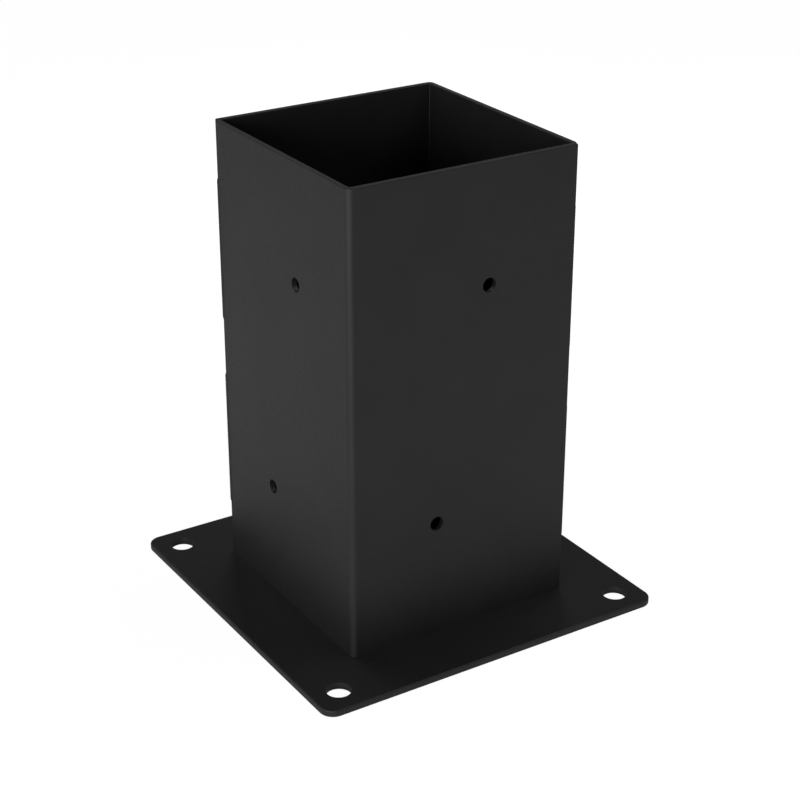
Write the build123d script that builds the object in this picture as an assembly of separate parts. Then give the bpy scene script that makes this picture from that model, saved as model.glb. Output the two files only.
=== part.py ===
"""A bolt-down post base: a square steel sleeve for a timber post, standing on a flat plate.

The sleeve is two equal L-shaped shells, each bent from one sheet. The second is the first,
turned half round the post. Each shell has a long wing and a short wing. At the two open
corners the short wing's end stands against the inside of the other shell's long wing, and
the long wing's tip stops a little short of the corner, which leaves a groove for the weld.
Stitches of weld fill each groove for part of its height. Four fillet welds inside hold the
sleeve to the plate.

Millimetres, +Z up. The origin is the middle of the plate's underside. The front is -Y.
"""

from build123d import *
import os
from math import sqrt

# Driving dimensions of the sleeve
post_side = 139.7
post_clearance = 0.3
sheet = 3.0
sleeve_height = 277.0
bend_inner_radius = 0.6
tip_setback = 1.2
rim_edge_round = 0.9

# Driving dimensions of the screw holes, two to a wall, one low and one high
screw_hole_diameter = 8.5
screw_hole_rise = 137.0
screw_hole_shift = 32.5
screw_pattern_offset = 0.85

# Driving dimensions of the plate: the margin is what stands out past each wall of the sleeve
plate_margin = 39.75
plate_thickness = 4.2
plate_corner_radius = 8.5
plate_edge_round = 0.8
anchor_hole_diameter = 14.5
anchor_hole_inset = 17.0

# Driving dimensions of the welds
stitch_length = 86.0
stitches_per_seam = 2
stitch_end_radius = 1.5
seam_weld_lap = 1.2
seam_weld_crown = 0.42
foot_weld_leg = 3.0
foot_weld_length = 70.0
foot_weld_bulge = 0.25

# Worked out from the driving dimensions
sleeve_inner = post_side + post_clearance
sleeve_outer = sleeve_inner + 2 * sheet
half_outer = sleeve_outer / 2
half_inner = sleeve_inner / 2
sleeve_middle = plate_thickness + sleeve_height / 2
plate_side = sleeve_outer + 2 * plate_margin
anchor_hole_spacing = plate_side - 2 * anchor_hole_inset
stitch_gap = (sleeve_height - stitches_per_seam * stitch_length) / (stitches_per_seam + 1)


def rounded(edges, radius, shape):
    """The shape with these edges rounded, or as it was where the radius is nothing."""
    return fillet(edges, radius) if radius > 0 else shape


def base_plate():
    """The flat plate with its round corners, soft edges and four anchor holes."""
    blank = extrude(RectangleRounded(plate_side, plate_side, plate_corner_radius), plate_thickness)
    rim = blank.faces().filter_by(Axis.Z).edges()
    drill = Pos(0, 0, plate_thickness / 2) * Cylinder(anchor_hole_diameter / 2, plate_thickness)
    anchor_holes = GridLocations(anchor_hole_spacing, anchor_hole_spacing, 2, 2) * drill
    return rounded(rim, plate_edge_round, blank) - anchor_holes


def shell_section():
    """The bent sheet seen from above: an L with its bend at the front left corner."""
    outline = Polyline(
        (-half_outer, -half_outer),
        (half_outer - tip_setback, -half_outer),
        (half_outer - tip_setback, -half_inner),
        (-half_inner, -half_inner),
        (-half_inner, half_inner),
        (-half_outer, half_inner),
        close=True,
    )
    section = make_face(outline)
    outer_corner, inner_corner = section.vertices().sort_by(Axis((0, 0, 0), (1, 1, 0)))[:2]
    section = rounded(outer_corner, bend_inner_radius + sheet, section)
    inner_corner = section.vertices().sort_by_distance(inner_corner)[0]
    return rounded(inner_corner, bend_inner_radius, section)


def screw_drills(near_bend_is_high):
    """Drills for the front wall's two screw holes, one near the bend and one far from it."""
    drill = Rot(90, 0, 0) * Cylinder(screw_hole_diameter / 2, 2 * sheet)
    wall_middle = Pos(-screw_pattern_offset, sheet / 2 - half_outer, sleeve_middle)
    rise = -screw_hole_rise if near_bend_is_high else screw_hole_rise
    return [
        wall_middle * Pos(side * screw_hole_shift / 2, 0, side * rise / 2) * drill
        for side in (-1, 1)
    ]


def front_shell():
    """The shell that makes the front wall, its long wing, and the left wall, its short one."""
    blank = Pos(0, 0, plate_thickness) * extrude(shell_section(), sleeve_height)
    rim = blank.faces().sort_by(Axis.Z)[-1].edges()
    across_bend = Plane(origin=(0, 0, 0), z_dir=(1, -1, 0))
    left_wall_drills = [mirror(drill, across_bend) for drill in screw_drills(True)]
    return rounded(rim, rim_edge_round, blank) - screw_drills(False) - left_wall_drills


def seam_weld_round():
    """Centre and radius of the round face of the weld at the back left seam, seen from above.

    The circle touches the plane of the long wing's outer face and stands proud of the short
    wing's face by the crown. It comes down on that face the lap away from the wing's end.
    """
    toe_depth = sheet + seam_weld_lap
    radius = toe_depth + seam_weld_crown - sqrt(2 * toe_depth * seam_weld_crown)
    return Vector(radius - seam_weld_crown - half_outer, half_outer - radius), radius


def seam_weld_section():
    """The weld seen from above: it fills the groove and laps over the short wing's edge."""
    centre, radius = seam_weld_round()
    groove_side = tip_setback - half_outer
    toe = Vector(-half_outer, half_inner - seam_weld_lap)
    edge = Vector(-half_outer, half_inner)
    root = Vector(groove_side, half_inner)
    tip = Vector(groove_side, centre.Y + sqrt(radius**2 - (centre.X - groove_side) ** 2))
    crest = centre + ((toe + tip) / 2 - centre).normalized() * radius
    return make_face([ThreePointArc(toe, crest, tip), Line(tip, root), Line(root, edge), Line(edge, toe)])


def seam_stitch(number):
    """One stitch of the back left seam, counted from the foot, with its ends rounded off."""
    centre, radius = seam_weld_round()
    foot = plate_thickness + stitch_gap + number * (stitch_length + stitch_gap)
    bar = Pos(0, 0, foot) * extrude(seam_weld_section(), stitch_length)
    outward = Vector(-1, 1, 0).normalized()
    room = 2 * (sheet + seam_weld_lap)
    middle = outward * (centre.dot(outward) + radius - room) + Vector(0, 0, foot + stitch_length / 2)
    side_view = Plane(origin=middle, x_dir=outward, z_dir=outward.cross(Vector(0, 0, 1)))
    outline = RectangleRounded(2 * room, stitch_length, stitch_end_radius)
    return bar & extrude(side_view * outline, room, both=True)


def foot_weld():
    """The fillet weld inside the front wall, between the wall and the plate."""
    heel, toe, top = Vector(0, 0), Vector(foot_weld_leg, 0), Vector(0, foot_weld_leg)
    crest = (toe + top) / 2 + Vector(1, 1).normalized() * foot_weld_bulge
    section = make_face([Line(heel, toe), ThreePointArc(toe, crest, top), Line(top, heel)])
    wall_foot = Plane(origin=(0, -half_inner, plate_thickness), x_dir=(0, 1, 0), z_dir=(1, 0, 0))
    return extrude(wall_foot * section, foot_weld_length / 2, both=True)


def build():
    """Every piece by its node name, in its place."""
    front = front_shell()
    pieces = {"base_plate": base_plate(), "front_shell": front, "rear_shell": Rot(0, 0, 180) * front}
    for number in range(stitches_per_seam):
        stitch = seam_stitch(number)
        pieces[f"back_left_seam_weld_{number + 1}"] = stitch
        pieces[f"front_right_seam_weld_{number + 1}"] = Rot(0, 0, 180) * stitch
    for quarter, wall in enumerate(("front", "left", "back", "right")):
        pieces[f"{wall}_foot_weld"] = Rot(0, 0, -90 * quarter) * foot_weld()
    return pieces


os.makedirs("parts", exist_ok=True)
for node, shape in build().items():
    export_step(shape, f"parts/{node}.step")
    print(node, "volume", round(shape.volume), "mm3")
print("sleeve outside", sleeve_outer, "inside", sleeve_inner, "gap between stitches", stitch_gap)
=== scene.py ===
# %% [markdown]
# A bolt-down post base for a timber post: a black square steel sleeve on a flat plate.
# The steel pieces come from the CAD model at their real size, and they stay as they are.
# Blender adds what a drawing leaves out: the rippled welds, the powder coat, and a studio
# to look at them in. Everything is in metres, with +Z up and the plate's underside at zero.

# %% Load the steel pieces
from math import cos, pi, radians, sin, sqrt

import bpy
from mathutils import Matrix, Vector


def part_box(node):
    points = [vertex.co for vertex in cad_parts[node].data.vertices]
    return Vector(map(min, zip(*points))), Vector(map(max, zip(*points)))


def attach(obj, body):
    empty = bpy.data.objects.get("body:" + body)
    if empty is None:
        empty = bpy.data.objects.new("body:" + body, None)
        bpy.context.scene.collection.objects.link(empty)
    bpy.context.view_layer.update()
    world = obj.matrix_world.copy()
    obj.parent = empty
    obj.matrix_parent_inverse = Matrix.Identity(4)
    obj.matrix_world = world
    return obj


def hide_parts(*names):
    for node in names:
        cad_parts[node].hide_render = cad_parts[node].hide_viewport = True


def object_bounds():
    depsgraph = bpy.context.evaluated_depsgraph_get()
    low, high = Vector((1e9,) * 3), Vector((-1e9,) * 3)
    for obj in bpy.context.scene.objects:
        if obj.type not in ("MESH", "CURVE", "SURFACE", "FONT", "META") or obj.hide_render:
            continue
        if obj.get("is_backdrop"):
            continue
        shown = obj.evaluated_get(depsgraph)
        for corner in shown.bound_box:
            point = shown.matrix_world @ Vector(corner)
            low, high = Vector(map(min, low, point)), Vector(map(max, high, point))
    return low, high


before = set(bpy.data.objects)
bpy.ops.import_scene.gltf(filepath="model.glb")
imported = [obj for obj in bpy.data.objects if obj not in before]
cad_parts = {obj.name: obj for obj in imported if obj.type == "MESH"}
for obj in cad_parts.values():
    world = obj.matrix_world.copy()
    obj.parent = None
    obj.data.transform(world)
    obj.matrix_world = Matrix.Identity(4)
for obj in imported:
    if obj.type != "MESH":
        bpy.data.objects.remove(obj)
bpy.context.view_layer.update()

print("steel pieces:", ", ".join(sorted(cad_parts)))

# %% [markdown]
# Every place below is worked out from the boxes of the steel pieces. The front shell gives
# the outer faces of the front and left walls, and the base plate gives the floor of the
# sleeve. The rear shell is the front one turned half round, so it needs no numbers.

# %% Measure the sleeve and the plate
MM = 1000

shell_low, shell_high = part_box("front_shell")
outer = -shell_low[0]
tip_setback = outer - shell_high[0]
sheet = outer - shell_high[1]
inner = outer - sheet
plate_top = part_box("base_plate")[1][2]
print(f"sleeve {2 * MM * outer:.1f} mm outside and {2 * MM * inner:.1f} mm inside")
print(f"sheet {MM * sheet:.1f} mm, tips {MM * tip_setback:.1f} mm short of the corner")

# %% [markdown]
# The operators that model a mesh act on all that is selected, and loading leaves the steel
# pieces selected. So each new piece starts from an empty selection. A finished piece gets
# its place moved into its mesh, its faces turned outwards, and soft shading on its curves.

# %% Helpers that start and finish a piece
SMOOTH_UP_TO = radians(50)


def select_only(thing):
    """Selects this object and nothing else, and makes it the active one."""
    bpy.ops.object.select_all(action="DESELECT")
    thing.select_set(True)
    bpy.context.view_layer.objects.active = thing


def finish_piece(piece, name):
    """Names a modelled piece, puts its place into its mesh and tidies its faces."""
    piece.name = name
    piece.data.name = name
    select_only(piece)
    bpy.ops.object.mode_set(mode="EDIT")
    bpy.ops.mesh.select_all(action="SELECT")
    bpy.ops.mesh.normals_make_consistent(inside=False)
    bpy.ops.object.mode_set(mode="OBJECT")
    bpy.ops.object.transform_apply(location=True, rotation=True, scale=True)
    bpy.ops.object.shade_smooth_by_angle(angle=SMOOTH_UP_TO)
    print(f"{name}: {len(piece.data.polygons)} faces")
    return piece


# %% [markdown]
# A weld is a row of small frozen puddles. The torch melts one, moves on a little, and melts
# the next half over it, so the bead has a ripple every two millimetres, each one curved like
# a fish scale. Under the powder coat the ripples are soft, but light still catches them.
#
# The bead could be a bump in its material, but its outline would stay dead straight. Here
# the bead's section is a filled circle, cut by the two sheets that it joins. It is extruded
# one short step at a time, and each step is scaled a little about the corner that the weld
# sits in. The sheet's corner doesn't move, so the bead never lifts off the steel. No two
# puddles come out the same size, so two slow waves change the size from ripple to ripple.

# %% Weld ripples
RIPPLE_PITCH = 0.0020
RIPPLE_SHAPE = (0.0, 0.8, 1.0, 0.75)
RIPPLE_HEIGHT = 0.13
WANDER_HEIGHT = 0.012
WANDER_WAVES = (1.7, 0.6)
END_SHAPE = (0.45, 0.72, 0.88, 0.96)
SCALE_DEPTH = 0.0007
CREST_REACH = 0.0006
CREST_SPREAD = 0.0022
CUT_TOLERANCE = 0.000001


def ripple_sizes(length):
    """Sizes of the bead's section at each step along it, from one rounded end to the other."""
    step = RIPPLE_PITCH / len(RIPPLE_SHAPE)
    count = round(length / step) - 2 * len(END_SHAPE)
    middle = []
    for number in range(count):
        ripple, phase = divmod(number, len(RIPPLE_SHAPE))
        wander = WANDER_HEIGHT * sin(WANDER_WAVES[0] * ripple) * cos(WANDER_WAVES[1] * ripple)
        middle.append(1 + wander + RIPPLE_HEIGHT * (RIPPLE_SHAPE[phase] - 1))
    return [*END_SHAPE, *middle, *reversed(END_SHAPE)]


def cut_section(centre, radius, turn, cuts, points):
    """A filled circle, cut back to one side of each plane, as the object being modelled."""
    bpy.ops.object.select_all(action="DESELECT")
    bpy.ops.mesh.primitive_circle_add(
        vertices=points, radius=radius, fill_type="NGON", location=centre, rotation=turn
    )
    bpy.ops.object.mode_set(mode="EDIT")
    for place, away in cuts:
        bpy.ops.mesh.select_all(action="SELECT")
        bpy.ops.mesh.bisect(
            plane_co=place, plane_no=away, clear_outer=True, threshold=CUT_TOLERANCE
        )
    bpy.ops.mesh.select_all(action="SELECT")
    return bpy.context.active_object


def resize_section(ratio, corner, along):
    """Scales the selected section about the weld's corner, across the joint only."""
    value = [1.0 if part else ratio for part in along]
    bpy.ops.transform.resize(value=value, center_override=corner)


def run_bead(corner, along, length):
    """Extrudes the selected section along the joint, swelling and shrinking it as it goes."""
    sizes = ripple_sizes(length)
    step = Vector(along) * (length / (len(sizes) - 1))
    resize_section(sizes[0], corner, along)
    for last, size in zip(sizes, sizes[1:]):
        bpy.ops.mesh.extrude_region_move(TRANSFORM_OT_translate={"value": step})
        resize_section(size / last, corner, along)


def curve_scales(piece, crest, along):
    """Pushes the crest line of the bead along it, so that each ripple bows like a fish scale."""
    bpy.ops.mesh.select_all(action="DESELECT")
    bpy.ops.object.mode_set(mode="OBJECT")
    line = Vector(crest) - Vector(crest).project(Vector(along))
    place = piece.matrix_world
    for vertex in piece.data.vertices:
        spot = place @ vertex.co
        flat = spot - spot.project(Vector(along))
        vertex.select = (flat - line).length < CREST_REACH
    bpy.ops.object.mode_set(mode="EDIT")
    bpy.ops.transform.translate(
        value=Vector(along) * SCALE_DEPTH,
        use_proportional_edit=True,
        proportional_edit_falloff="SMOOTH",
        proportional_size=CREST_SPREAD,
    )
    bpy.ops.object.mode_set(mode="OBJECT")


# %% [markdown]
# Each open corner of the sleeve has a groove between one shell's wing and the edge of the
# other, and two stitches of weld fill it. The CAD model has them as smooth bars. The box of
# such a bar gives the stitch its place, and the round face is part of a circle that meets
# both sheets. The seam at the other corner is a copy, turned half round the post.

# %% Seam welds
SEAM_LAP = 0.0012
SEAM_CROWN = 0.00042
SEAM_POINTS = 40
UP = (0, 0, 1)


def seam_weld(node):
    """The rippled stitch that stands for one stitch of the back left seam."""
    low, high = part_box(node)
    depth = sheet + SEAM_LAP
    radius = depth + SEAM_CROWN - sqrt(2 * depth * SEAM_CROWN)
    centre = Vector((radius - SEAM_CROWN - outer, outer - radius, low[2]))
    root = Vector((tip_setback - outer, inner, low[2]))
    toe = Vector((-outer, inner - SEAM_LAP, low[2]))
    slant = (root - toe).normalized()
    cuts = [(root, (1, 0, 0)), (toe, (slant.y, -slant.x, 0))]
    piece = cut_section(centre, radius, (0, 0, 0), cuts, SEAM_POINTS)
    corner = Vector((-outer, inner, low[2]))
    run_bead(corner, UP, high[2] - low[2])
    crest = centre + (corner - centre).normalized() * radius
    curve_scales(piece, crest, UP)
    return finish_piece(piece, node.replace("seam_weld", "rippled_seam_weld"))


def turned_copy(piece, quarters, name):
    """A copy with its own mesh, turned round the post by quarter turns, clockwise from above."""
    copy = piece.copy()
    copy.data = piece.data.copy()
    bpy.context.collection.objects.link(copy)
    select_only(copy)
    bpy.ops.transform.rotate(value=quarters * pi / 2, orient_axis="Z", center_override=(0, 0, 0))
    return finish_piece(copy, name)


welds = {}
for number in (1, 2):
    stitch = seam_weld(f"back_left_seam_weld_{number}")
    welds[f"back_left_seam_weld_{number}"] = stitch
    name = f"front_right_rippled_seam_weld_{number}"
    welds[f"front_right_seam_weld_{number}"] = turned_copy(stitch, 2, name)
print("seam welds:", len(welds))

# %% [markdown]
# Nothing shows outside at the sleeve's foot, so the welds that hold it to the plate are
# inside, one to a wall. Each is a fillet: a triangle in section, with a face that bulges a
# little. The circle is large here, because the bulge is slight.

# %% Foot welds
FOOT_BULGE = 0.00025
FOOT_POINTS = 128
ACROSS = (1, 0, 0)


def foot_weld(node):
    """The rippled fillet that stands for the weld inside the front wall."""
    low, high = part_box(node)
    leg = high[2] - low[2]
    half_chord = leg / sqrt(2)
    radius = (half_chord**2 + FOOT_BULGE**2) / (2 * FOOT_BULGE)
    setback = (half_chord - radius + FOOT_BULGE) / sqrt(2)
    corner = Vector((low[0], -inner, plate_top))
    centre = corner + Vector((0, setback, setback))
    cuts = [(corner, (0, -1, 0)), (corner, (0, 0, -1))]
    piece = cut_section(centre, radius, (0, pi / 2, 0), cuts, FOOT_POINTS)
    run_bead(corner, ACROSS, high[0] - low[0])
    crest = centre + Vector((0, 1, 1)).normalized() * radius
    curve_scales(piece, crest, ACROSS)
    return finish_piece(piece, node.replace("foot_weld", "rippled_foot_weld"))


front_weld = foot_weld("front_foot_weld")
welds["front_foot_weld"] = front_weld
for quarters, wall in ((1, "left"), (2, "back"), (3, "right")):
    welds[f"{wall}_foot_weld"] = turned_copy(front_weld, quarters, f"{wall}_rippled_foot_weld")
for node, piece in welds.items():
    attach(piece, "root")
    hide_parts(node)
print("welds in place:", len(welds))

# %% [markdown]
# The finish is black powder coat. Powder is sprayed on dry and melts in an oven, and it
# flows out into a skin that is nearly smooth, with a faint orange peel and a fine grain. Its
# black is really a very dark grey, a little uneven from place to place. A plain colour would
# look like plastic, so three noise patterns at real sizes drive the material: broad clouds
# for the tone, a two millimetre swell for the orange peel and the gloss, and a fine grain.

# %% Powder coat
COAT_DARK = (0.0070, 0.0070, 0.0073, 1)
COAT_PALE = (0.0090, 0.0090, 0.0093, 1)
COAT_GLOSS = 0.5
COAT_ROUGH = (0.48, 0.58)
CLOUDS_PER_METRE = 28
CLOUDS_DETAIL = 4
CLOUDS_EDGES = (0.35, 0.65)
PEEL_PER_METRE = 420
PEEL_DETAIL = 1
PEEL_HEIGHT = 0.00010
PEEL_STRENGTH = 0.5
GRAIN_PER_METRE = 2200
GRAIN_DETAIL = 2
GRAIN_HEIGHT = 0.00004
GRAIN_STRENGTH = 0.8


def add_node(tree, kind, **settings):
    """A new shader node, with its inputs set by name."""
    node = tree.nodes.new(kind)
    for name, value in settings.items():
        node.inputs[name.replace("_", " ")].default_value = value
    return node


def noise(tree, place, per_metre, detail):
    """A noise pattern at a real size, read from the object's own coordinates."""
    node = add_node(tree, "ShaderNodeTexNoise", Scale=per_metre, Detail=detail)
    tree.links.new(place, node.inputs["Vector"])
    return node.outputs["Fac"]


def bump(tree, height, distance, strength, under=None):
    """A bump of this real height, laid over another one where there is one."""
    node = add_node(tree, "ShaderNodeBump", Distance=distance, Strength=strength)
    tree.links.new(height, node.inputs["Height"])
    if under:
        tree.links.new(under, node.inputs["Normal"])
    return node.outputs["Normal"]


def powder_coat():
    """Black powder coat with uneven tone, orange peel and grain."""
    coat = bpy.data.materials.new("black powder coat")
    coat.use_nodes = True
    tree = coat.node_tree
    shader = tree.nodes["Principled BSDF"]
    place = tree.nodes.new("ShaderNodeTexCoord").outputs["Object"]
    clouds = noise(tree, place, CLOUDS_PER_METRE, CLOUDS_DETAIL)
    peel = noise(tree, place, PEEL_PER_METRE, PEEL_DETAIL)
    grain = noise(tree, place, GRAIN_PER_METRE, GRAIN_DETAIL)
    tone = tree.nodes.new("ShaderNodeValToRGB")
    stops = tone.color_ramp.elements
    for stop, edge, colour in zip(stops, CLOUDS_EDGES, (COAT_DARK, COAT_PALE)):
        stop.position = edge
        stop.color = colour
    tree.links.new(clouds, tone.inputs["Fac"])
    tree.links.new(tone.outputs["Color"], shader.inputs["Base Color"])
    dull = add_node(tree, "ShaderNodeMapRange", To_Min=COAT_ROUGH[0], To_Max=COAT_ROUGH[1])
    tree.links.new(peel, dull.inputs["Value"])
    tree.links.new(dull.outputs["Result"], shader.inputs["Roughness"])
    swell = bump(tree, peel, PEEL_HEIGHT, PEEL_STRENGTH)
    skin = bump(tree, grain, GRAIN_HEIGHT, GRAIN_STRENGTH, swell)
    tree.links.new(skin, shader.inputs["Normal"])
    shader.inputs["Specular IOR Level"].default_value = COAT_GLOSS
    return coat


coat = powder_coat()
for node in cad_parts.values():
    for slot in node.material_slots:
        slot.material = coat
for piece in welds.values():
    piece.data.materials.append(coat)
print("coated pieces:", len(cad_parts))

# %% [markdown]
# The studio is a white floor that runs out of sight. To the camera the floor is nearly pure
# white: nine tenths of it is its own glow, and the rest is lit, so it takes the object's
# shadow, very faintly. To the object it is a pale floor that throws some light back. Light
# Path tells the two apart.

# %% Floor and surroundings
FLOOR_SIDE = 12.0
GLOW_SHARE = 0.90
GLOW_STRENGTH = 1.07
FLOOR_PALE = (0.80, 0.80, 0.80, 1)
FLOOR_SHEEN = 0.178
WHITE = (1, 1, 1, 1)
AIR_LIGHT = 0.01


def white_floor_material():
    """Pale to the object, and nearly pure white with a shadow to the camera."""
    material = bpy.data.materials.new("studio floor")
    material.use_nodes = True
    tree = material.node_tree
    tree.nodes.remove(tree.nodes["Principled BSDF"])
    lit = add_node(tree, "ShaderNodeBsdfDiffuse", Color=FLOOR_PALE)
    sheen = add_node(tree, "ShaderNodeEmission", Color=WHITE, Strength=FLOOR_SHEEN)
    pale = tree.nodes.new("ShaderNodeAddShader")
    tree.links.new(lit.outputs[0], pale.inputs[0])
    tree.links.new(sheen.outputs[0], pale.inputs[1])
    white = add_node(tree, "ShaderNodeBsdfDiffuse", Color=WHITE)
    glow = add_node(tree, "ShaderNodeEmission", Color=WHITE, Strength=GLOW_STRENGTH)
    seen = add_node(tree, "ShaderNodeMixShader", Fac=GLOW_SHARE)
    tree.links.new(white.outputs[0], seen.inputs[1])
    tree.links.new(glow.outputs[0], seen.inputs[2])
    choose = tree.nodes.new("ShaderNodeMixShader")
    path = tree.nodes.new("ShaderNodeLightPath")
    tree.links.new(path.outputs["Is Camera Ray"], choose.inputs[0])
    tree.links.new(pale.outputs[0], choose.inputs[1])
    tree.links.new(seen.outputs[0], choose.inputs[2])
    tree.links.new(choose.outputs[0], tree.nodes["Material Output"].inputs["Surface"])
    return material


def studio_air(strength):
    """White behind everything to the camera, and a soft even light to the object."""
    world = bpy.data.worlds.new("studio air")
    world.use_nodes = True
    tree = world.node_tree
    light = tree.nodes["Background"]
    light.inputs["Color"].default_value = WHITE
    light.inputs["Strength"].default_value = strength
    glow = GLOW_SHARE * GLOW_STRENGTH
    seen = add_node(tree, "ShaderNodeBackground", Color=WHITE, Strength=glow)
    choose = tree.nodes.new("ShaderNodeMixShader")
    path = tree.nodes.new("ShaderNodeLightPath")
    tree.links.new(path.outputs["Is Camera Ray"], choose.inputs[0])
    tree.links.new(light.outputs[0], choose.inputs[1])
    tree.links.new(seen.outputs[0], choose.inputs[2])
    tree.links.new(choose.outputs[0], tree.nodes["World Output"].inputs["Surface"])
    bpy.context.scene.world = world


bpy.ops.object.select_all(action="DESELECT")
bpy.ops.mesh.primitive_plane_add(size=FLOOR_SIDE, location=(0, 0, 0))
floor = bpy.context.active_object
floor.name = "studio_floor"
floor.data.materials.append(white_floor_material())
floor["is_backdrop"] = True
studio_air(AIR_LIGHT)
print("floor", FLOOR_SIDE, "m square")

# %% [markdown]
# Black steel shows little but what it mirrors. Two wide soft boxes stand low at the front
# left, one beside the camera and one square to the left wall. They light the floor more than
# the steel, and the walls mirror that floor, so they look pale while the plate and the
# inside of the sleeve stay dark. A high box behind lights the floor that the left wall
# mirrors, a small one gives the plate's far end its shine, and two from above draw the thin
# light line along the rim. The last two hang over the floor behind the base and to its
# right. Their beams are narrow, so they miss the steel and only give the back its light.
# Each row holds the lamp's place, the point that it looks at, its width and height, its
# power in watts and, where the beam is narrow, the beam's spread in degrees.

# %% Lamps
WIDE_OPEN = 180
LAMPS = {
    "key": ((-1.671, -1.792, 0.535), (0.0, 0.0, 0.535), 2.0, 0.9, 27.9),
    "left": ((-2.494, -0.530, 0.710), (0.0, 0.0, 0.1), 1.8, 1.4, 22.0),
    "rear": ((-0.742, 2.283, 1.950), (0.0, 0.0, 0.1), 1.6, 1.9, 12.7),
    "right": ((0.983, -0.688, 1.625), (0.0, 0.0, 0.1), 1.5, 1.1, 5.4),
    "overhead": ((0.825, 0.0, 1.525), (0.825, 0.0, 0.0), 1.1, 1.3, 4.4),
    "back": ((0.575, 0.996, 0.660), (0.0, 0.0, 0.66), 0.5, 0.5, 0.4),
    "floor behind": ((0.30, 0.65, 0.80), (0.30, 0.65, 0.0), 0.7, 0.7, 1.4, 30),
    "floor right": ((0.65, 0.30, 0.80), (0.65, 0.30, 0.0), 0.7, 0.7, 1.4, 30),
}


def soft_box(name, place, target, width, height, power, spread=WIDE_OPEN):
    """A soft box with a flat face that looks at its target and is out of the picture itself."""
    lamp = bpy.data.lights.new(name, "AREA")
    lamp.shape = "RECTANGLE"
    lamp.size = width
    lamp.size_y = height
    lamp.energy = power
    lamp.spread = radians(spread)
    thing = bpy.data.objects.new(name, lamp)
    thing.location = place
    aim = Vector(target) - Vector(place)
    thing.rotation_euler = aim.to_track_quat("-Z", "Y").to_euler()
    thing.visible_camera = False
    bpy.context.collection.objects.link(thing)


for name, settings in LAMPS.items():
    soft_box(name, *settings)
print("lamps:", ", ".join(LAMPS))

# %% [markdown]
# The camera stands where the photographer stood: a little over a metre away, turned 32
# degrees to the left of the front wall, and looking down by 25 degrees. Its lens is a hair
# longer than the photo's, which makes up for the softer outlines of a render.

# %% Camera
CAMERA_PLACE = Vector((-0.52724, -0.83704, 0.58131))
CAMERA_AIM = Vector((-0.00135, -0.00954, 0.12186))
CAMERA_LENS = 83.86
FILM_WIDTH = 36
CAMERA_ROLL = radians(0.052)


def photo_camera():
    """The camera at the photograph's place and angle."""
    lens = bpy.data.cameras.new("camera")
    lens.lens = CAMERA_LENS
    lens.sensor_width = FILM_WIDTH
    camera = bpy.data.objects.new("camera", lens)
    camera.location = CAMERA_PLACE
    level = (CAMERA_AIM - CAMERA_PLACE).to_track_quat("-Z", "Y").to_matrix()
    camera.rotation_euler = (level @ Matrix.Rotation(CAMERA_ROLL, 3, "Z")).to_euler()
    bpy.context.collection.objects.link(camera)
    bpy.context.scene.camera = camera


photo_camera()
bpy.context.scene.view_settings.view_transform = "Standard"
print("camera", round((CAMERA_AIM - CAMERA_PLACE).length, 3), "m away")

# %% [markdown]
# Last, the outside size of the dressed model is printed.

# %% Sizes, and the end
dressed_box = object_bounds()
dressed_size = [round(MM * (high - low), 1) for low, high in zip(*dressed_box)]
print("dressed size", dressed_size, "mm")
